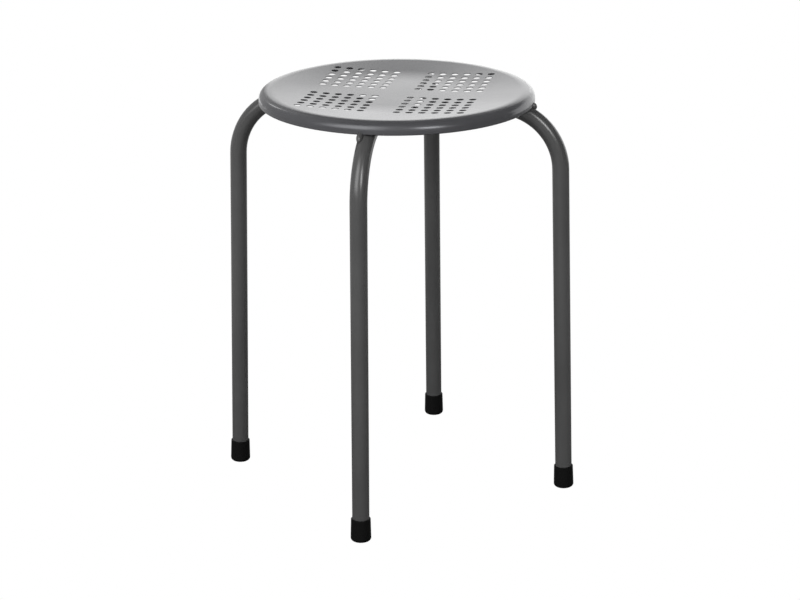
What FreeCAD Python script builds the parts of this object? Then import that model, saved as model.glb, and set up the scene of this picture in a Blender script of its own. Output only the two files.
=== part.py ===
"""Round stacking stool: a perforated seat pan welded to two bent tubes that stand in rubber feet.

Frame: origin on the floor under the middle of the seat, +Z up, legs on the X and Y axes.
The front leg is at -Y and the left leg at -X. Millimetres and degrees.
"""
import math
import os

import FreeCAD
import Part
import Sketcher

Vector = FreeCAD.Vector
Rotation = FreeCAD.Rotation

# Driving dimensions: cell alias, value, what it is.
DIMENSIONS = [
    ("seat_diameter", 300.0, "outside diameter of the seat pan"),
    ("seat_height", 450.6, "floor to the crown of the pan"),
    ("sheet_thickness", 0.8, "steel sheet of the pan"),
    ("dish_depth", 4.65, "drop of the pan's flat middle below its crown"),
    ("dish_floor_radius", 56.0, "flat middle of the pan"),
    ("dish_bend_radius", 520.0, "bend from the flat middle to the slope round it"),
    ("crown_distance", 137.0, "crown's distance from the seat's axis"),
    ("brow_radius", 25.0, "bend over the crown"),
    ("roll_radius", 8.4, "bend from the brow down to the rim's upright side"),
    ("curl_radius", 1.2, "bend that turns the rim's lower edge in"),
    ("rim_depth", 13.4, "crown to the lower edge of the rim"),
    ("hole_diameter", 8.0, "punched hole"),
    ("hole_pitch", 13.65, "hole to hole, both ways"),
    ("hole_margin", 19.5, "first row of holes from the lines through the legs"),
    ("hole_rows", 6, "rows, and holes in a row, of one group"),
    ("group_count", 4, "groups of holes round the seat"),
    ("tube_diameter", 18.5, "outside diameter of the leg tube"),
    ("tube_wall", 1.2, "wall of the leg tube"),
    ("leg_circle", 379.0, "circle through the middles of the legs at the floor"),
    ("splay_angle", 1.34, "lean of a leg from upright"),
    ("shoulder_radius", 68.5, "bend between a leg and the run under the seat"),
    ("shoulder_height", 368.0, "height of the shoulder bend's centre"),
    ("run_slope", 2.9, "fall of the run under the seat towards the middle"),
    ("middle_height", 434.0, "front to back tube's centre line under the middle"),
    ("gentle_radius", 200.0, "bend where the front to back run becomes level"),
    ("crossing_gap", 0.2, "space between the tubes where they cross"),
    ("dip_angle", 22.0, "slope of the left to right tube's dip"),
    ("dip_top_radius", 40.0, "bend where the dip begins"),
    ("dip_low_radius", 30.0, "bend at the bottom of the dip"),
    ("tube_end_rise", 4.0, "end of the tube above the floor, inside its foot"),
    ("foot_height", 25.0, "height of a rubber foot"),
    ("foot_low_radius", 11.1, "outside radius of a foot near the floor"),
    ("foot_top_radius", 10.6, "outside radius of a foot at its mouth"),
    ("foot_round", 3.5, "rounding of a foot's lower edge"),
    ("foot_lip", 0.6, "chamfer round a foot's mouth"),
    ("sole_trim", 0.35, "how far the sole is pressed flat"),
    ("front_weld_reach", 14.0, "length of the front bead, down the shoulder of the tube"),
    ("rim_weld_reach", 9.0, "length of the other three beads on the rim"),
    ("rim_weld_width", 7.0, "bead's width along the rim"),
    ("rim_weld_thickness", 9.0, "bead's height square to the tube, most of it in the corner"),
    ("rim_weld_start", 145.2, "bead's inner end from the seat's axis"),
    ("rim_weld_aside", 5.0, "bead's middle from the middle of the leg"),
    ("rim_weld_drop", 11.8, "bead's inner end below the crown"),
    ("rim_weld_tilt", 34.0, "slope of the bead, with the tube's shoulder"),
    ("crossing_weld_length", 13.0, "bead along the front to back tube"),
    ("crossing_weld_width", 5.0, "bead from side to side"),
    ("crossing_weld_thickness", 3.4, "bead's height"),
    ("crossing_weld_lift", 1.3, "bead's middle above the underside of the upper tube"),
    ("crossing_weld_offset", 6.5, "bead's middle from the seat's axis"),
]

# Direction of each leg from the seat's axis, in degrees from +X.
SIDES = {"right": 0.0, "back": 90.0, "left": 180.0, "front": 270.0}

# Each tube is welded to the rim along one side: +Y of the left to right tube, -X of the other.
WELD_SIDE = {"right": 1, "back": 1, "left": -1, "front": -1}

# Ends of sketch geometry, as the sketch numbers them.
START, END, CENTRE = 1, 2, 3
ORIGIN = (-1, 1)
VERTICAL_AXIS = -2

# Shorter lines than this, in a path, are the joints of two arcs.
SHORTEST_LINE = 1e-6


def make_sheet(doc):
    """Spreadsheet of the driving dimensions, one row each."""
    sheet = doc.addObject("Spreadsheet::Sheet", "Sheet")
    for row, (alias, value, note) in enumerate(DIMENSIONS, start=1):
        sheet.set(f"A{row}", alias)
        sheet.set(f"B{row}", str(value))
        sheet.set(f"C{row}", note)
        sheet.setAlias(f"B{row}", alias)
    doc.recompute()


def make_body(doc, label, turn=0.0):
    """Empty body with its own label, turned about the seat's axis."""
    body = doc.addObject("PartDesign::Body", label)
    body.Label = label
    body.Placement = FreeCAD.Placement(Vector(), Rotation(Vector(0, 0, 1), turn))
    return body


def origin_plane(body, role):
    return next(item for item in body.Origin.OriginFeatures if item.Role == role)


def add_sketch(body, name, role):
    """Sketch on one of the body's own origin planes."""
    sketch = body.newObject("Sketcher::SketchObject", name)
    sketch.AttachmentSupport = [(origin_plane(body, role), "")]
    sketch.MapMode = "FlatFace"
    return sketch


def hold(sketch, kind, *where):
    """Add a constraint that has no size of its own."""
    sketch.addConstraint(Sketcher.Constraint(kind, *where))


def bind(sketch, expression, kind, *where):
    """Add a driving constraint, whose last value is its size now, and tie it to the sheet."""
    index = sketch.addConstraint(Sketcher.Constraint(kind, *where))
    sketch.setExpression(f"Constraints[{index}]", expression)


def line(start, end):
    return Part.LineSegment(Vector(*start, 0), Vector(*end, 0))


def arc(centre, radius, start_angle, end_angle):
    """Arc in a sketch, anticlockwise from one angle to the other, in degrees."""
    circle = Part.Circle(Vector(*centre, 0), Vector(0, 0, 1), radius)
    return Part.ArcOfCircle(circle, math.radians(start_angle), math.radians(end_angle))


def crossing_of(point_a, angle_a, point_b, angle_b):
    """Where two lines meet, each through a point at an angle in degrees from the horizontal."""
    ax, az = point_a
    bx, bz = point_b
    slope_a = math.tan(math.radians(angle_a))
    slope_b = math.tan(math.radians(angle_b))
    x = (bz - az + slope_a * ax - slope_b * bx) / (slope_a - slope_b)
    return x, bz + slope_b * (x - bx) if abs(slope_b) < abs(slope_a) else az + slope_a * (x - ax)


def rounded_path(corners):
    """Lines and arcs, as plain numbers, along corners given as (x, z, bend radius).

    The first and last corners are the path's ends. Each bend is an arc tangent to both its runs.
    """
    pieces = []
    here = Vector(corners[0][0], corners[0][1], 0)
    for index in range(1, len(corners) - 1):
        x, z, radius = corners[index]
        corner = Vector(x, z, 0)
        before = (corner - Vector(*corners[index - 1][:2], 0)).normalize()
        after = (Vector(*corners[index + 1][:2], 0) - corner).normalize()
        turn = math.atan2(before.x * after.y - before.y * after.x, before.dot(after))
        reach = radius * math.tan(abs(turn) / 2)
        bend_start = corner - before * reach
        bend_end = corner + after * reach
        side = Vector(-before.y, before.x, 0) * math.copysign(radius, turn)
        centre = bend_start + side
        pieces.append(("line", here, bend_start))
        pieces.append(("arc", centre, radius, bend_start, bend_end, turn > 0))
        here = bend_end
    pieces.append(("line", here, Vector(corners[-1][0], corners[-1][1], 0)))
    return pieces


def draw_path(sketch, pieces):
    """Put a path's lines and arcs in a sketch, tangent one to the next.

    Returns the number of each, with its first and last end along the path.
    """
    drawn = []
    for piece in pieces:
        if piece[0] == "line":
            start, end = piece[1], piece[2]
            if (end - start).Length < SHORTEST_LINE:
                continue
            drawn.append((sketch.addGeometry(Part.LineSegment(start, end)), START, END))
            continue
        centre, radius, start, end, anticlockwise = piece[1:]
        first, last = (start, end) if anticlockwise else (end, start)
        angles = [math.degrees(math.atan2(p.y - centre.y, p.x - centre.x)) for p in (first, last)]
        if angles[1] < angles[0]:
            angles[1] += 360
        number = sketch.addGeometry(arc((centre.x, centre.y), radius, *angles))
        drawn.append((number, START, END) if anticlockwise else (number, END, START))
    for before, after in zip(drawn, drawn[1:]):
        hold(sketch, "Tangent", before[0], before[2], after[0], after[1])
    return drawn


def slope_of_pan(size):
    """Angle of the pan's slope, the line that both the bend and the brow are tangent to."""
    out = size["crown_distance"] - size["dish_floor_radius"]
    radii = size["dish_bend_radius"] + size["brow_radius"]
    up = radii - size["dish_depth"]
    return math.degrees(math.atan2(out, up) - math.acos(radii / math.hypot(out, up)))


def end_of_brow(size):
    """Angle, from level, of the point where the brow passes into the roll."""
    out = size["seat_diameter"] / 2 - size["roll_radius"] - size["crown_distance"]
    return math.degrees(math.acos(out / (size["brow_radius"] - size["roll_radius"])))


def pan_corners(size, inset):
    """Corners of the pan's profile from its middle out, set in from the outside by a distance."""
    slope = slope_of_pan(size)
    brow_end = end_of_brow(size)
    brow = size["brow_radius"] - inset
    curl = size["curl_radius"]
    side = size["seat_diameter"] / 2 - inset
    low = -size["rim_depth"] + inset

    def on_brow(angle):
        out = size["crown_distance"] + brow * math.cos(math.radians(angle))
        return out, -size["brow_radius"] + brow * math.sin(math.radians(angle))

    floor = (0, -size["dish_depth"] - inset)
    dish_bend = crossing_of(floor, 0, on_brow(90 + slope), slope)
    brow_bend = crossing_of(on_brow(90 + slope), slope, on_brow(brow_end), brow_end - 90)
    roll_bend = crossing_of(on_brow(brow_end), brow_end - 90, (side, low), 90)
    return [
        (*floor, 0),
        (*dish_bend, size["dish_bend_radius"] + inset),
        (*brow_bend, brow),
        (*roll_bend, size["roll_radius"] - inset),
        (side, low, curl - inset),
        (size["seat_diameter"] / 2 - curl, low, 0),
    ]


def draw_pan_layer(profile, size, layer):
    """One face of the pan's sheet: layer 0 is the outside, layer 1 the underside."""
    inset = layer * size["sheet_thickness"]
    inset_cell = f"{layer} * Sheet.sheet_thickness"
    drawn = draw_path(profile, rounded_path(pan_corners(size, inset)))
    floor, dish_bend, slope, brow, roll, side, curl = [number for number, start, end in drawn]
    hold(profile, "PointOnObject", floor, START, VERTICAL_AXIS)
    hold(profile, "Horizontal", floor)
    hold(profile, "Vertical", side)

    def bind_height(expression, value, number, point):
        bind(profile, expression, "DistanceY", *ORIGIN, number, point, value)

    def bind_distance(expression, value, number, point):
        bind(profile, expression, "DistanceX", *ORIGIN, number, point, value)

    def bind_radius(cell, number, sign):
        value = size[cell] + sign * inset
        bind(profile, f"Sheet.{cell} + {sign} * {inset_cell}", "Radius", number, value)

    low = size["rim_depth"] - inset
    outside = size["seat_diameter"] / 2
    bind_height(f"-Sheet.dish_depth - {inset_cell}", -size["dish_depth"] - inset, floor, START)
    bind_distance("Sheet.dish_floor_radius", size["dish_floor_radius"], dish_bend, CENTRE)
    bind_distance("Sheet.crown_distance", size["crown_distance"], brow, CENTRE)
    bind_height("-Sheet.brow_radius", -size["brow_radius"], brow, CENTRE)
    bind_distance(f"Sheet.seat_diameter / 2 - {inset_cell}", outside - inset, side, END)
    bind_distance("Sheet.seat_diameter / 2 - Sheet.curl_radius", outside - size["curl_radius"], curl, START)
    bind_height(f"-Sheet.rim_depth + {inset_cell}", -low, curl, START)
    hold(profile, "Vertical", curl, START, curl, CENTRE)
    bind_radius("dish_bend_radius", dish_bend, 1)
    bind_radius("brow_radius", brow, -1)
    bind_radius("roll_radius", roll, -1)
    return floor, curl


def make_pressed_pan(body, size):
    """Sheet profile turned about the seat's axis: flat middle, slope, brow, roll and turned-in edge."""
    profile = add_sketch(body, "PanProfile", "XZ_Plane")
    floor, curl = draw_pan_layer(profile, size, 0)
    under_floor, inner_curl = draw_pan_layer(profile, size, 1)
    edge_x = size["seat_diameter"] / 2 - size["curl_radius"]
    low = -size["rim_depth"]
    edge = profile.addGeometry(line((edge_x, low), (edge_x, low + size["sheet_thickness"])))
    hold(profile, "Coincident", curl, START, edge, START)
    hold(profile, "Coincident", inner_curl, START, edge, END)
    top = -size["dish_depth"]
    middle = profile.addGeometry(line((0, top), (0, top - size["sheet_thickness"])))
    hold(profile, "Coincident", floor, START, middle, START)
    hold(profile, "Coincident", under_floor, START, middle, END)
    pan = body.newObject("PartDesign::Revolution", "PressedPan")
    pan.Profile = profile
    pan.ReferenceAxis = (profile, ["V_Axis"])
    pan.Angle = 360.0


def punch_holes(body, size):
    """One punched hole, repeated along its row, in rows, and in groups round the seat."""
    punch = add_sketch(body, "PunchOutline", "XY_Plane")
    margin = size["hole_margin"]
    radius = size["hole_diameter"] / 2
    circle = punch.addGeometry(Part.Circle(Vector(margin, margin, 0), Vector(0, 0, 1), radius))
    bind(punch, "Sheet.hole_diameter", "Diameter", circle, 2 * radius)
    bind(punch, "Sheet.hole_margin", "DistanceX", *ORIGIN, circle, CENTRE, margin)
    bind(punch, "Sheet.hole_margin", "DistanceY", *ORIGIN, circle, CENTRE, margin)
    hole = body.newObject("PartDesign::Pocket", "FirstHole")
    hole.Profile = punch
    hole.Type = "ThroughAll"
    body.Document.recompute()

    grid = body.newObject("PartDesign::MultiTransform", "Perforation")
    steps = []
    for name, axis in (("HolesAlongRow", "H_Axis"), ("Rows", "V_Axis")):
        step = body.newObject("PartDesign::LinearPattern", name)
        step.Direction = (punch, [axis])
        step.setExpression("Length", "Sheet.hole_pitch * (Sheet.hole_rows - 1)")
        step.setExpression("Occurrences", "Sheet.hole_rows")
        steps.append(step)
    groups = body.newObject("PartDesign::PolarPattern", "Groups")
    groups.Axis = (punch, ["N_Axis"])
    groups.Angle = 360.0
    groups.setExpression("Occurrences", "Sheet.group_count")
    steps.append(groups)
    grid.Originals = [hole]
    grid.Transformations = steps
    body.Tip = grid


def make_seat_pan(doc, size):
    """Pressed and punched seat, set so that its crown is at the seat's height."""
    body = make_body(doc, "seat_pan")
    body.setExpression("Placement.Base.z", "Sheet.seat_height")
    make_pressed_pan(body, size)
    doc.recompute()
    punch_holes(body, size)
    doc.recompute()
    return body


def tube_corners(size, dips):
    """Corners of one half of a leg tube's centre line, from the middle out to the foot."""
    splay = math.radians(size["splay_angle"])
    foot_radius = size["leg_circle"] / 2
    rise = size["tube_end_rise"]
    foot = (foot_radius - rise * math.sin(splay), rise * math.cos(splay))
    leg_angle = -90 + size["splay_angle"]
    bend = size["shoulder_radius"]
    height = size["shoulder_height"]
    bend_centre_x = foot_radius - (height * math.sin(splay) + bend) / math.cos(splay)
    run_slope = size["run_slope"]
    slope = math.radians(run_slope)
    on_run = (bend_centre_x - bend * math.sin(slope), height + bend * math.cos(slope))
    shoulder = crossing_of(on_run, run_slope, foot, leg_angle)
    low = size["middle_height"]
    if not dips:
        knee = crossing_of(on_run, run_slope, (0, low), 0)
        return [(0, low, 0), (*knee, size["gentle_radius"]), (*shoulder, bend), (*foot, 0)]
    low -= size["tube_diameter"] + size["crossing_gap"]
    low_bend = size["dip_low_radius"]
    start = (low_bend * math.tan(math.radians(size["dip_angle"]) / 2), low)
    knee = crossing_of(on_run, run_slope, start, size["dip_angle"])
    return [
        (0, low, 0),
        (*start, low_bend),
        (*knee, size["dip_top_radius"]),
        (*shoulder, bend),
        (*foot, 0),
    ]


def middle_of_tube(size, dips):
    """Height of a tube's centre line under the middle of the seat, as a value and an expression."""
    if not dips:
        return size["middle_height"], "Sheet.middle_height"
    height = size["middle_height"] - size["tube_diameter"] - size["crossing_gap"]
    return height, "Sheet.middle_height - Sheet.tube_diameter - Sheet.crossing_gap"


def draw_centre_line(body, label, size, dips):
    """Half of a tube's centre line, in a sketch. Returns the sketch and how many edges it has."""
    path = add_sketch(body, label + "_centre_line", "XZ_Plane")
    drawn = draw_path(path, rounded_path(tube_corners(size, dips)))
    numbers = [number for number, start, end in drawn]
    first, first_start = drawn[0][:2]
    run, shoulder, leg = numbers[-3:]
    middle, middle_cells = middle_of_tube(size, dips)
    splay = math.radians(size["splay_angle"])
    rise = size["tube_end_rise"]
    rise_x = "Sheet.tube_end_rise * sin(Sheet.splay_angle * 1 deg)"
    rise_z = "Sheet.tube_end_rise * cos(Sheet.splay_angle * 1 deg)"
    foot_x = size["leg_circle"] / 2 - rise * math.sin(splay)
    hold(path, "PointOnObject", first, first_start, VERTICAL_AXIS)
    if dips:
        hold(path, "PointOnObject", first, CENTRE, VERTICAL_AXIS)
        bind(path, "Sheet.dip_low_radius", "Radius", first, size["dip_low_radius"])
        bind(path, "Sheet.dip_angle * 1 deg", "Angle", numbers[1], math.radians(size["dip_angle"]))
        bind(path, "Sheet.dip_top_radius", "Radius", numbers[2], size["dip_top_radius"])
    else:
        hold(path, "Horizontal", first)
        bind(path, "Sheet.gentle_radius", "Radius", numbers[1], size["gentle_radius"])
    bind(path, middle_cells, "DistanceY", *ORIGIN, first, first_start, middle)
    bind(path, "Sheet.run_slope * 1 deg", "Angle", run, math.radians(size["run_slope"]))
    bind(path, "Sheet.shoulder_radius", "Radius", shoulder, size["shoulder_radius"])
    bind(path, "Sheet.shoulder_height", "DistanceY", *ORIGIN, shoulder, CENTRE, size["shoulder_height"])
    bind(path, "(Sheet.splay_angle - 90) * 1 deg", "Angle", leg, splay - math.pi / 2)
    bind(path, f"Sheet.leg_circle / 2 - {rise_x}", "DistanceX", *ORIGIN, leg, END, foot_x)
    bind(path, rise_z, "DistanceY", *ORIGIN, leg, END, rise * math.cos(splay))
    return path, len(numbers)


def draw_tube_section(body, label, size, dips):
    """Outside and bore of the tube, round its centre line under the middle of the seat."""
    section = add_sketch(body, label + "_section", "YZ_Plane")
    middle, middle_cells = middle_of_tube(size, dips)
    outside = size["tube_diameter"] / 2
    for radius, expression in (
        (outside, "Sheet.tube_diameter / 2"),
        (outside - size["tube_wall"], "Sheet.tube_diameter / 2 - Sheet.tube_wall"),
    ):
        ring = section.addGeometry(Part.Circle(Vector(0, middle, 0), Vector(0, 0, 1), radius))
        hold(section, "PointOnObject", ring, CENTRE, VERTICAL_AXIS)
        bind(section, expression, "Radius", ring, radius)
        bind(section, middle_cells, "DistanceY", *ORIGIN, ring, CENTRE, middle)
    return section


def make_leg_tube(doc, size, label, turn, dips):
    """Round tube swept along half of its centre line, then mirrored into two legs."""
    body = make_body(doc, label, turn)
    path, edge_count = draw_centre_line(body, label, size, dips)
    section = draw_tube_section(body, label, size, dips)
    doc.recompute()
    half = body.newObject("PartDesign::AdditivePipe", label + "_half")
    half.Profile = section
    half.Spine = (path, [f"Edge{number}" for number in range(1, edge_count + 1)])
    half.SpineTangent = False
    doc.recompute()
    whole = body.newObject("PartDesign::Mirrored", label + "_both_halves")
    whole.Originals = [half]
    whole.MirrorPlane = (origin_plane(body, "YZ_Plane"), [""])
    body.Tip = whole
    doc.recompute()
    return body


def foot_corners(size):
    """Corners of a foot's profile: round the outside from the sole to the mouth, then down the bore."""
    trim = size["sole_trim"]
    low, top = size["foot_low_radius"], size["foot_top_radius"]
    rounding, lip, height = size["foot_round"], size["foot_lip"], size["foot_height"]
    bore = size["tube_diameter"] / 2
    floor = size["tube_end_rise"]
    wall_slope = math.atan2(low - top, height - lip + trim - rounding)
    wall_start = (
        low - rounding + rounding * math.cos(wall_slope),
        rounding - trim + rounding * math.sin(wall_slope),
    )
    outline = [
        wall_start,
        (top, height - lip),
        (top - lip, height),
        (bore, height),
        (bore, floor),
        (0, floor),
        (0, -trim),
    ]
    return math.degrees(wall_slope), outline


def draw_foot_profile(body, label, size):
    """Section of a rubber cup about its own axis."""
    profile = add_sketch(body, label + "_profile", "XZ_Plane")
    leaning = Rotation(Vector(0, 0, 1), size["splay_angle"])
    profile.AttachmentOffset = FreeCAD.Placement(Vector(), leaning)
    profile.setExpression("AttachmentOffset.Rotation.Angle", "Sheet.splay_angle * 1 deg")
    wall_slope, outline = foot_corners(size)
    trim = size["sole_trim"]
    rounding = size["foot_round"]
    sole_end = size["foot_low_radius"] - rounding
    sole = profile.addGeometry(line((0, -trim), (sole_end, -trim)))
    heel = profile.addGeometry(arc((sole_end, rounding - trim), rounding, -90, wall_slope))
    runs = [profile.addGeometry(line(*pair)) for pair in zip(outline, outline[1:])]
    wall, mouth, brim, inside, seat, middle = runs
    hold(profile, "Tangent", sole, END, heel, START)
    hold(profile, "Tangent", heel, END, wall, START)
    for before, after in zip(runs, [*runs[1:], sole]):
        hold(profile, "Coincident", before, END, after, START)
    hold(profile, "PointOnObject", sole, START, VERTICAL_AXIS)
    for level in (sole, brim, seat):
        hold(profile, "Horizontal", level)
    for upright in (inside, middle):
        hold(profile, "Vertical", upright)
    top, lip, height = size["foot_top_radius"], size["foot_lip"], size["foot_height"]
    bind(profile, "Sheet.foot_round", "Radius", heel, rounding)
    for expression, kind, number, point, value in (
        ("-Sheet.sole_trim", "DistanceY", sole, START, -trim),
        ("Sheet.foot_low_radius - Sheet.foot_round", "DistanceX", heel, CENTRE, sole_end),
        ("Sheet.foot_top_radius", "DistanceX", wall, END, top),
        ("Sheet.foot_height - Sheet.foot_lip", "DistanceY", wall, END, height - lip),
        ("Sheet.foot_top_radius - Sheet.foot_lip", "DistanceX", mouth, END, top - lip),
        ("Sheet.foot_height", "DistanceY", mouth, END, height),
        ("Sheet.tube_diameter / 2", "DistanceX", inside, END, size["tube_diameter"] / 2),
        ("Sheet.tube_end_rise", "DistanceY", seat, END, size["tube_end_rise"]),
    ):
        bind(profile, expression, kind, *ORIGIN, number, point, value)
    return profile


def make_foot(doc, size, side):
    """Rubber cup on the end of a leg. It leans with the leg, and its sole is pressed flat."""
    label = f"foot_{side}"
    body = make_body(doc, label, SIDES[side])
    turn = f"{SIDES[side]} deg"
    body.setExpression("Placement.Base.x", f"Sheet.leg_circle / 2 * cos({turn})")
    body.setExpression("Placement.Base.y", f"Sheet.leg_circle / 2 * sin({turn})")
    cup = body.newObject("PartDesign::Revolution", label + "_cup")
    cup.Profile = draw_foot_profile(body, label, size)
    cup.ReferenceAxis = (cup.Profile[0], ["V_Axis"])
    cup.Angle = 360.0
    doc.recompute()

    footprint = add_sketch(body, label + "_footprint", "XY_Plane")
    reach = 2 * size["foot_low_radius"]
    circle = footprint.addGeometry(Part.Circle(Vector(), Vector(0, 0, 1), reach))
    hold(footprint, "Coincident", circle, CENTRE, *ORIGIN)
    bind(footprint, "2 * Sheet.foot_low_radius", "Radius", circle, reach)
    flat = body.newObject("PartDesign::Pocket", label + "_flat_sole")
    flat.Profile = footprint
    flat.Type = "ThroughAll"
    doc.recompute()
    if not flat.Shape.Volume < cup.Shape.Volume:
        raise RuntimeError(f"{label}: the sole was not cut flat")
    return body


def make_shoulder_ring(doc, side):
    """Solid ring that holds one shoulder bend of a tube, bore and all, to shape the bead beside it."""
    ring = doc.addObject("Part::Torus", f"shoulder_ring_{side}")
    ring.setExpression("Radius1", "Sheet.shoulder_radius")
    ring.setExpression("Radius2", "Sheet.tube_diameter / 2")
    upright = Rotation(Vector(1, 0, 0), 90)
    ring.Placement = FreeCAD.Placement(Vector(), Rotation(Vector(0, 0, 1), SIDES[side]) * upright)
    splay = "Sheet.splay_angle * 1 deg"
    inward = f"(Sheet.shoulder_height * sin({splay}) + Sheet.shoulder_radius) / cos({splay})"
    out = f"(Sheet.leg_circle / 2 - {inward})"
    ring.setExpression("Placement.Base.x", f"{out} * cos({SIDES[side]} deg)")
    ring.setExpression("Placement.Base.y", f"{out} * sin({SIDES[side]} deg)")
    ring.setExpression("Placement.Base.z", "Sheet.shoulder_height")
    return ring


def make_crossing_tools(doc):
    """Solid rod and ring that hold the two tubes where they cross, bores and all."""
    across = Rotation(Vector(1, 0, 0), 90)
    rod = doc.addObject("Part::Cylinder", "upper_tube_rod")
    rod.setExpression("Radius", "Sheet.tube_diameter / 2")
    rod.setExpression("Height", "Sheet.crossing_weld_length * 2")
    rod.Placement = FreeCAD.Placement(Vector(), across)
    rod.setExpression("Placement.Base.y", "Sheet.crossing_weld_length")
    rod.setExpression("Placement.Base.z", "Sheet.middle_height")
    ring = doc.addObject("Part::Torus", "lower_tube_ring")
    ring.setExpression("Radius1", "Sheet.dip_low_radius")
    ring.setExpression("Radius2", "Sheet.tube_diameter / 2")
    ring.Placement = FreeCAD.Placement(Vector(), across)
    low = "Sheet.middle_height - Sheet.tube_diameter - Sheet.crossing_gap"
    ring.setExpression("Placement.Base.z", f"{low} + Sheet.dip_low_radius")
    return rod, ring


def make_bead(doc, label, turn, half_sizes, middle, tools, tilt=0.0):
    """Bead of weld: an ellipsoid less the pieces that it lies against.

    half_sizes and middle are (outward, sideways, upward), as expressions on the sheet. The bead is
    tilted down outward, and then turned about the seat's axis.
    """
    bead = doc.addObject("Part::Ellipsoid", label + "_run")
    bead.setExpression("Radius2", half_sizes[0])
    bead.setExpression("Radius3", half_sizes[1])
    bead.setExpression("Radius1", half_sizes[2])
    turned = Rotation(Vector(0, 0, 1), turn) * Rotation(Vector(0, 1, 0), tilt)
    bead.Placement = FreeCAD.Placement(Vector(), turned)
    out, aside, up = middle
    bead.setExpression("Placement.Base.x", f"({out}) * cos({turn} deg) - ({aside}) * sin({turn} deg)")
    bead.setExpression("Placement.Base.y", f"({out}) * sin({turn} deg) + ({aside}) * cos({turn} deg)")
    bead.setExpression("Placement.Base.z", up)
    shape = bead
    for number, tool in enumerate(tools, start=1):
        cut = doc.addObject("Part::Cut", f"{label}_cut_{number}")
        cut.Base = shape
        cut.Tool = tool
        shape = cut
    doc.recompute()
    shape.Label = label
    return shape


def make_rim_weld(doc, size, side, pan):
    """Bead between the rim and one side of a leg, in the corner over the tube's shoulder."""
    reach = "Sheet.front_weld_reach" if side == "front" else "Sheet.rim_weld_reach"
    half_sizes = (f"{reach} / 2", "Sheet.rim_weld_width / 2", "Sheet.rim_weld_thickness / 2")
    aside = f"{WELD_SIDE[side]} * Sheet.rim_weld_aside"
    out = f"Sheet.rim_weld_start + {reach} / 2 * cos(Sheet.rim_weld_tilt * 1 deg)"
    drop = f"Sheet.rim_weld_drop + {reach} / 2 * sin(Sheet.rim_weld_tilt * 1 deg)"
    middle = (out, aside, f"Sheet.seat_height - ({drop})")
    tools = (make_shoulder_ring(doc, side), pan)
    return make_bead(doc, f"rim_weld_{side}", SIDES[side], half_sizes, middle, tools, size["rim_weld_tilt"])


def make_crossing_weld(doc, side, tools):
    """Bead between the two tubes, on one side of the upper one."""
    half_sizes = (
        "Sheet.crossing_weld_width / 2",
        "Sheet.crossing_weld_length / 2",
        "Sheet.crossing_weld_thickness / 2",
    )
    height = "Sheet.middle_height - Sheet.tube_diameter / 2 + Sheet.crossing_weld_lift"
    middle = ("Sheet.crossing_weld_offset", "0", height)
    return make_bead(doc, f"crossing_weld_{side}", SIDES[side], half_sizes, middle, tools)


def check_and_export(doc, pieces):
    """Stop on a failed object or a bad shape, then write one file for each piece."""
    for item in doc.Objects:
        if "Invalid" in item.State or "Error" in item.State:
            raise RuntimeError(f"{item.Name}: {item.State}")
    os.makedirs("parts", exist_ok=True)
    for piece in pieces:
        if piece.Shape.isNull() or not piece.Shape.isValid():
            raise RuntimeError(f"{piece.Label}: no valid shape")
        solids = len(piece.Shape.Solids)
        print(f"{piece.Label}: {solids} solid, {piece.Shape.Volume:.0f} mm3")
        piece.Shape.exportStep(f"parts/{piece.Label}.step")


def main():
    size = {alias: value for alias, value, note in DIMENSIONS}
    doc = FreeCAD.newDocument("StackingStool")
    make_sheet(doc)
    pan = make_seat_pan(doc, size)
    front_back = make_leg_tube(doc, size, "front_back_leg_tube", SIDES["back"], dips=False)
    left_right = make_leg_tube(doc, size, "left_right_leg_tube", SIDES["right"], dips=True)
    feet = [make_foot(doc, size, side) for side in SIDES]
    rim_welds = [make_rim_weld(doc, size, side, pan) for side in SIDES]
    crossing = make_crossing_tools(doc)
    crossing_welds = [make_crossing_weld(doc, side, crossing) for side in ("left", "right")]
    check_and_export(doc, [pan, front_back, left_right, *feet, *rim_welds, *crossing_welds])


main()
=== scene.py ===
"""Stacking stool: the finish of its steel and rubber, with studio light and the photographer's view.

Metres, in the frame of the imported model: the floor is at z = 0 under the middle of the seat, the
front leg is at -Y and the left leg at -X.
"""
import math

import bpy
from mathutils import Matrix

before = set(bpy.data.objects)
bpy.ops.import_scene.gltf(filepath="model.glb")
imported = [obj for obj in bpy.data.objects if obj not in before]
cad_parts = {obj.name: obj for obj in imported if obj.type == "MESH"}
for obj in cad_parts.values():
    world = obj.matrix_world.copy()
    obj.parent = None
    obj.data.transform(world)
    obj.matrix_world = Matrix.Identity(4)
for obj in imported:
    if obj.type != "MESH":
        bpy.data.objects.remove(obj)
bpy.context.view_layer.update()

MM = 0.001
SIDES = ("right", "back", "left", "front")

# Where the photographer stood: angles in degrees, lengths in metres, lens and sensor in millimetres.
VIEW_AZIMUTH = 12.86
VIEW_DISTANCE = 2.5371
VIEW_HEIGHT = 1.0766
VIEW_AIM = 12.82
VIEW_PITCH = 18.90
VIEW_ROLL = -0.444
VIEW_LENS = 108.03
SENSOR_WIDTH = 36.0

# Powder coat: linear colours, gloss as roughness, scales per metre, relief in millimetres.
SEAT_GREY = (0.053, 0.053, 0.057)
SEAT_SHEEN = (0.95, 0.965, 1.0)
LEG_GREY = (0.054, 0.054, 0.054)
WELD_GREY = (0.055, 0.055, 0.055)
COAT_GLOSS = 0.2
COAT_GLOSS_SPREAD = (-0.02, 0.03)
COAT_MOTTLE = (0.93, 1.07)
COAT_SPECK_DULLNESS = 0.06
COAT_BUMP = 0.35
PEEL_SCALE = 420.0
PEEL_RELIEF = 0.02
RIPPLE_SCALE = 760.0
RIPPLE_RELIEF = 0.9
GRAIN_SCALE = 2600.0
GRAIN_SHARE = 0.18
CLOUD_SCALE = 11.0

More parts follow.
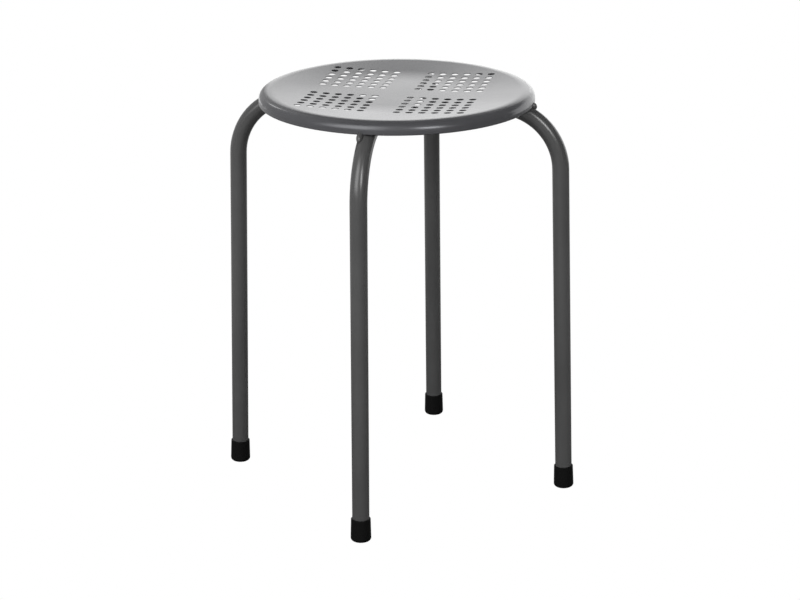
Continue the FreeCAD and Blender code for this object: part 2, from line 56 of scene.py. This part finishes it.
# Rubber of the feet.
RUBBER_BLACKS = (0.002, 0.005)
RUBBER_ROUGHNESS = (0.5, 0.62)
RUBBER_SPECULAR = 0.08
RUBBER_GRAIN_SCALE = 1900.0
RUBBER_RELIEF = 0.04
RUBBER_BUMP = 0.4

# Floor paper, in metres. To the coat's reflections it is a grey copy of the white paper, which is
# painted shade, and it glows with painted light from the first to the second distance of each pair:
# away from the stool, which leaves painted shade near it, less towards the right, and more at the
# back.
FLOOR_WIDTH = 8.0
PAPER_PAINTED_SHADE = 0.2
PAPER_ROUGHNESS = 0.9
PAPER_PAINTED_LIGHT = 0.4
PAPER_PAINTED_STOOL_SHADE_REACH = (0.25, 1.0)
PAPER_PAINTED_RIGHT_SHADE_SHARE = 0.25
PAPER_PAINTED_RIGHT_SHADE_REACH = (0.1, 0.9)
PAPER_PAINTED_BACK_LIGHT = 0.9
PAPER_PAINTED_BACK_LIGHT_REACH = (1.3, 2.4)

# Light of the studio. Angles are in degrees: sideways from the middle of the backdrop as the camera
# sees it, to the right positive, and upwards from level.
CEILING_LIGHT = 0.16
PANEL_MEASURES = (
    "Facing", "Half_Width", "Side_Fade", "Bottom", "Bottom_Fade", "Top", "Top_Fade", "Strength"
)
PANELS = {
    "backdrop": (29.8, 36.2, 4.5, -12.0, 4.0, 18.0, 8.5, 1.5),
    "middle of the backdrop": (8.0, 4.0, 8.5, -12.0, 4.0, 17.0, 7.0, 0.36),
    "left wall": (-65.0, 50.0, 8.0, -12.0, 6.0, 44.0, 34.0, 0.46),
    "left soft box": (-141.0, 9.0, 27.0, 22.0, 22.0, 44.0, 24.0, 4.4),
    "right soft box": (151.5, 1.5, 15.0, 25.0, 14.0, 33.0, 18.0, 10.0),
    "wall behind the camera": (180.0, 25.0, 30.0, -10.0, 10.0, 62.0, 20.0, 0.5),
    "narrow lamp": (-31.0, 1.5, 4.0, 26.0, 4.0, 31.0, 5.0, 4.6),
}

# Colour sockets of a Mix node, by number, because its sockets of other kinds share their names.
FIRST_COLOUR, SECOND_COLOUR, MIXED_COLOUR = 6, 7, 2


class Nodes:
    """Short way to add and join the nodes of one material, world or group."""

    def __init__(self, tree):
        self.tree = tree

    def add(self, kind, **settings):
        node = self.tree.nodes.new(kind)
        for name, value in settings.items():
            setattr(node, name, value)
        return node

    def join(self, source, target):
        self.tree.links.new(source, target)

    def feed(self, value, target):
        """Set a socket to a plain value, or join it to another node's output."""
        if isinstance(value, bpy.types.NodeSocket):
            self.join(value, target)
        else:
            target.default_value = value

    def math(self, operation, *values):
        node = self.add("ShaderNodeMath", operation=operation)
        for value, target in zip(values, node.inputs):
            self.feed(value, target)
        return node.outputs[0]

    def ramp(self, value, start, end, low=0.0, high=1.0):
        """Soft step: low below start, high above end."""
        node = self.add("ShaderNodeMapRange", interpolation_type="SMOOTHSTEP")
        for name, item in (
            ("Value", value),
            ("From Min", start),
            ("From Max", end),
            ("To Min", low),
            ("To Max", high),
        ):
            self.feed(item, node.inputs[name])
        return node.outputs["Result"]

    def noise(self, place, scale, detail=2.0, roughness=0.5):
        node = self.add("ShaderNodeTexNoise")
        self.join(place, node.inputs["Vector"])
        self.feed(scale, node.inputs["Scale"])
        node.inputs["Detail"].default_value = detail
        node.inputs["Roughness"].default_value = roughness
        return node.outputs["Fac"]

    def mix(self, share, first, second):
        """Colour between two plain colours."""
        node = self.add("ShaderNodeMix", data_type="RGBA")
        self.join(share, node.inputs["Factor"])
        node.inputs[FIRST_COLOUR].default_value = (*first, 1.0)
        node.inputs[SECOND_COLOUR].default_value = (*second, 1.0)
        return node.outputs[MIXED_COLOUR]

    def bump(self, height, strength, distance):
        """Normal of a surface with small relief; distance in millimetres."""
        node = self.add("ShaderNodeBump")
        node.inputs["Strength"].default_value = strength
        node.inputs["Distance"].default_value = distance * MM
        self.join(height, node.inputs["Height"])
        return node.outputs["Normal"]

    def group(self, tree, **values):
        node = self.add("ShaderNodeGroup", node_tree=tree)
        for name, value in values.items():
            self.feed(value, node.inputs[name.replace("_", " ")])
        return node


def new_group(name, inputs, outputs):
    """Shader group with named number or vector sockets."""
    tree = bpy.data.node_groups.new(name, "ShaderNodeTree")
    kinds = {"value": "NodeSocketFloat", "vector": "NodeSocketVector"}
    for socket, kind in inputs:
        tree.interface.new_socket(socket, in_out="INPUT", socket_type=kinds[kind])
    for socket, kind in outputs:
        tree.interface.new_socket(socket, in_out="OUTPUT", socket_type=kinds[kind])
    nodes = Nodes(tree)
    return nodes, nodes.add("NodeGroupInput").outputs, nodes.add("NodeGroupOutput").inputs


def new_material(name):
    """Material with its nodes and its Principled shader."""
    material = bpy.data.materials.new(name)
    material.use_nodes = True
    return material, Nodes(material.node_tree), material.node_tree.nodes["Principled BSDF"]


def powder_texture():
    """Baked powder coat: the height of its orange peel and grain, and masks of clouds and specks."""
    nodes, given, result = new_group(
        "powder texture",
        [("Place", "vector"), ("Peel Scale", "value"), ("Grain Scale", "value")],
        [("Height", "value"), ("Cloud", "value"), ("Speck", "value")],
    )
    peel = nodes.noise(given["Place"], given["Peel Scale"], detail=1.0)
    grain = nodes.noise(given["Place"], given["Grain Scale"], detail=2.0, roughness=0.6)
    cloud = nodes.noise(given["Place"], CLOUD_SCALE, detail=4.0, roughness=0.62)
    nodes.join(nodes.math("MULTIPLY_ADD", grain, GRAIN_SHARE, peel), result["Height"])
    nodes.join(cloud, result["Cloud"])
    nodes.join(nodes.ramp(grain, 0.52, 0.74), result["Speck"])
    return nodes.tree


def coated_steel(name, grey, powder, peel_scale=PEEL_SCALE, relief=PEEL_RELIEF):
    """Satin powder coat on steel: dark grey and faintly mottled, with relief in millimetres."""
    material, nodes, coat = new_material(name)
    place = nodes.add("ShaderNodeTexCoord").outputs["Object"]
    finish = nodes.group(powder, Place=place, Peel_Scale=peel_scale, Grain_Scale=GRAIN_SCALE).outputs
    darker, lighter = ([part * share for part in grey] for share in COAT_MOTTLE)
    shade = nodes.mix(nodes.ramp(finish["Cloud"], 0.3, 0.7), darker, lighter)
    nodes.join(shade, coat.inputs["Base Color"])
    glossy, dull = (COAT_GLOSS + spread for spread in COAT_GLOSS_SPREAD)
    clouded = nodes.ramp(finish["Cloud"], 0.25, 0.75, glossy, dull)
    specked = nodes.math("MULTIPLY_ADD", finish["Speck"], COAT_SPECK_DULLNESS, clouded)
    nodes.join(specked, coat.inputs["Roughness"])
    nodes.join(nodes.bump(finish["Height"], COAT_BUMP, relief), coat.inputs["Normal"])
    return material


def seat_steel(powder):
    """Coat of the seat, with a slightly cool sheen."""
    material = coated_steel("seat_coat", SEAT_GREY, powder)
    coat = material.node_tree.nodes["Principled BSDF"]
    coat.inputs["Specular Tint"].default_value = (*SEAT_SHEEN, 1.0)
    return material


def moulded_rubber():
    """Black rubber, dull, with the fine grain of its mould."""
    material, nodes, rubber = new_material("foot_rubber")
    place = nodes.add("ShaderNodeTexCoord").outputs["Object"]
    grain = nodes.noise(place, RUBBER_GRAIN_SCALE, detail=3.0)
    darker, lighter = ([black] * 3 for black in RUBBER_BLACKS)
    nodes.join(nodes.mix(grain, darker, lighter), rubber.inputs["Base Color"])
    nodes.join(nodes.ramp(grain, 0.3, 0.7, *RUBBER_ROUGHNESS), rubber.inputs["Roughness"])
    rubber.inputs["Specular IOR Level"].default_value = RUBBER_SPECULAR
    nodes.join(nodes.bump(grain, RUBBER_BUMP, RUBBER_RELIEF), rubber.inputs["Normal"])
    return material


def finish_piece(node, material):
    """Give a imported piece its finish."""
    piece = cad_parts[node]
    for slot in piece.material_slots:
        slot.material = material


def finish_stool():
    """Coat the seat, the tubes and the welds, and make the feet of rubber."""
    powder = powder_texture()
    seat_coat = seat_steel(powder)
    leg_coat = coated_steel("leg_coat", LEG_GREY, powder)
    weld_coat = coated_steel("weld_coat", WELD_GREY, powder, RIPPLE_SCALE, RIPPLE_RELIEF)
    foot_rubber = moulded_rubber()
    finish_piece("seat_pan", seat_coat)
    for tube in ("front_back_leg_tube", "left_right_leg_tube"):
        finish_piece(tube, leg_coat)
    for side in SIDES:
        finish_piece(f"foot_{side}", foot_rubber)
        finish_piece(f"rim_weld_{side}", weld_coat)
    for side in ("left", "right"):
        finish_piece(f"crossing_weld_{side}", weld_coat)


def painted_floor_light(nodes):
    """Painted light of the paper at each place on the floor, as the stool's coat mirrors it: painted
    shade near the stool, less light towards the right and more at the back.
    """
    place = nodes.add("ShaderNodeTexCoord").outputs["Object"]
    distance = nodes.add("ShaderNodeVectorMath", operation="LENGTH")
    nodes.join(place, distance.inputs[0])
    # Painted shade near the stool, less painted light towards the right, and more painted light at the
    # back.
    away = nodes.ramp(distance.outputs["Value"], *PAPER_PAINTED_STOOL_SHADE_REACH, 0.0, PAPER_PAINTED_LIGHT)
    parts = nodes.add("ShaderNodeSeparateXYZ")
    nodes.join(place, parts.inputs["Vector"])
    right = nodes.ramp(parts.outputs["X"], *PAPER_PAINTED_RIGHT_SHADE_REACH, 1.0, PAPER_PAINTED_RIGHT_SHADE_SHARE)
    behind = nodes.ramp(parts.outputs["Y"], *PAPER_PAINTED_BACK_LIGHT_REACH, 0.0, PAPER_PAINTED_BACK_LIGHT)
    return nodes.math("ADD", nodes.math("MULTIPLY", away, right), behind)


def pale_floor():
    """Seamless paper, evenly white to the eye; to the coat's reflections a grey copy with painted
    shade and a painted glow that is darker near the stool.
    """
    bpy.ops.mesh.primitive_plane_add(size=FLOOR_WIDTH)
    floor = bpy.context.object
    floor.name = "floor"
    material, nodes, paper = new_material("white paper")
    # Painted shade: the paper is grey, not white, where the coat's reflections see it.
    paper.inputs["Base Color"].default_value = (*[PAPER_PAINTED_SHADE] * 3, 1.0)
    paper.inputs["Roughness"].default_value = PAPER_ROUGHNESS
    paper.inputs["Specular IOR Level"].default_value = 0.0
    paper.inputs["Emission Color"].default_value = (1.0, 1.0, 1.0, 1.0)
    # Painted light: the paper glows for the coat's reflections, with painted shade near the stool.
    nodes.join(painted_floor_light(nodes), paper.inputs["Emission Strength"])
    white = nodes.add("ShaderNodeEmission")
    white.inputs["Strength"].default_value = 1.0
    either = nodes.add("ShaderNodeMixShader")
    nodes.join(nodes.add("ShaderNodeLightPath").outputs["Is Camera Ray"], either.inputs["Fac"])
    nodes.join(paper.outputs["BSDF"], either.inputs[1])
    nodes.join(white.outputs["Emission"], either.inputs[2])
    nodes.join(either.outputs["Shader"], material.node_tree.nodes["Material Output"].inputs["Surface"])
    floor.data.materials.append(material)


def light_panel():
    """Soft-edged panel of light: how bright it is in each direction."""
    measures = [(name.replace("_", " "), "value") for name in PANEL_MEASURES]
    nodes, given, result = new_group(
        "light panel", [("Azimuth", "value"), ("Height", "value"), *measures], [("Light", "value")]
    )
    turned = nodes.math("SUBTRACT", given["Azimuth"], given["Facing"])
    offset = nodes.math("ABSOLUTE", nodes.math("WRAP", turned, 180.0, -180.0))
    edge = nodes.math("ADD", given["Half Width"], given["Side Fade"])
    across = nodes.ramp(offset, given["Half Width"], edge, 1.0, 0.0)
    low = nodes.math("SUBTRACT", given["Bottom"], given["Bottom Fade"])
    above = nodes.ramp(given["Height"], low, given["Bottom"])
    high = nodes.math("ADD", given["Top"], given["Top Fade"])
    below = nodes.ramp(given["Height"], given["Top"], high, 1.0, 0.0)
    share = nodes.math("MULTIPLY", across, nodes.math("MULTIPLY", above, below))
    nodes.join(nodes.math("MULTIPLY", share, given["Strength"]), result["Light"])
    return nodes.tree


def studio_light():
    """White studio: the ceiling's light everywhere, and each panel added to it."""
    world = bpy.data.worlds.new("studio")
    world.use_nodes = True
    bpy.context.scene.world = world
    nodes = Nodes(world.node_tree)
    turn = nodes.add("ShaderNodeMapping", vector_type="POINT")
    turn.inputs["Rotation"].default_value = (0.0, 0.0, math.radians(-VIEW_AZIMUTH))
    nodes.join(nodes.add("ShaderNodeTexCoord").outputs["Generated"], turn.inputs["Vector"])
    parts = nodes.add("ShaderNodeSeparateXYZ")
    nodes.join(turn.outputs["Vector"], parts.inputs["Vector"])
    sideways = nodes.math("ARCTAN2", parts.outputs["X"], parts.outputs["Y"])
    upwards = nodes.math("ARCSINE", parts.outputs["Z"])
    azimuth = nodes.math("MULTIPLY", sideways, math.degrees(1.0))
    height = nodes.math("MULTIPLY", upwards, math.degrees(1.0))
    panel = light_panel()
    light = CEILING_LIGHT
    for values in PANELS.values():
        measures = dict(zip(PANEL_MEASURES, values))
        node = nodes.group(panel, Azimuth=azimuth, Height=height, **measures)
        light = nodes.math("ADD", node.outputs["Light"], light)
    background = world.node_tree.nodes["Background"]
    nodes.join(light, background.inputs["Strength"])
    background.inputs["Color"].default_value = (1.0, 1.0, 1.0, 1.0)


def set_camera():
    """Camera at the photographer's place, turned, tipped and rolled as it was held."""
    data = bpy.data.cameras.new("camera")
    data.sensor_width = SENSOR_WIDTH
    data.lens = VIEW_LENS
    camera = bpy.data.objects.new("camera", data)
    bpy.context.scene.collection.objects.link(camera)
    stand = math.radians(VIEW_AZIMUTH)
    place = (VIEW_DISTANCE * math.sin(stand), -VIEW_DISTANCE * math.cos(stand), VIEW_HEIGHT)
    aim = Matrix.Rotation(math.radians(VIEW_AIM), 4, "Z")
    tip = Matrix.Rotation(math.radians(90.0 - VIEW_PITCH), 4, "X")
    roll = Matrix.Rotation(math.radians(VIEW_ROLL), 4, "Z")
    camera.matrix_world = Matrix.Translation(place) @ aim @ tip @ roll
    bpy.context.scene.camera = camera


finish_stool()
pale_floor()
studio_light()
set_camera()
bpy.context.scene.view_settings.view_transform = "Standard"
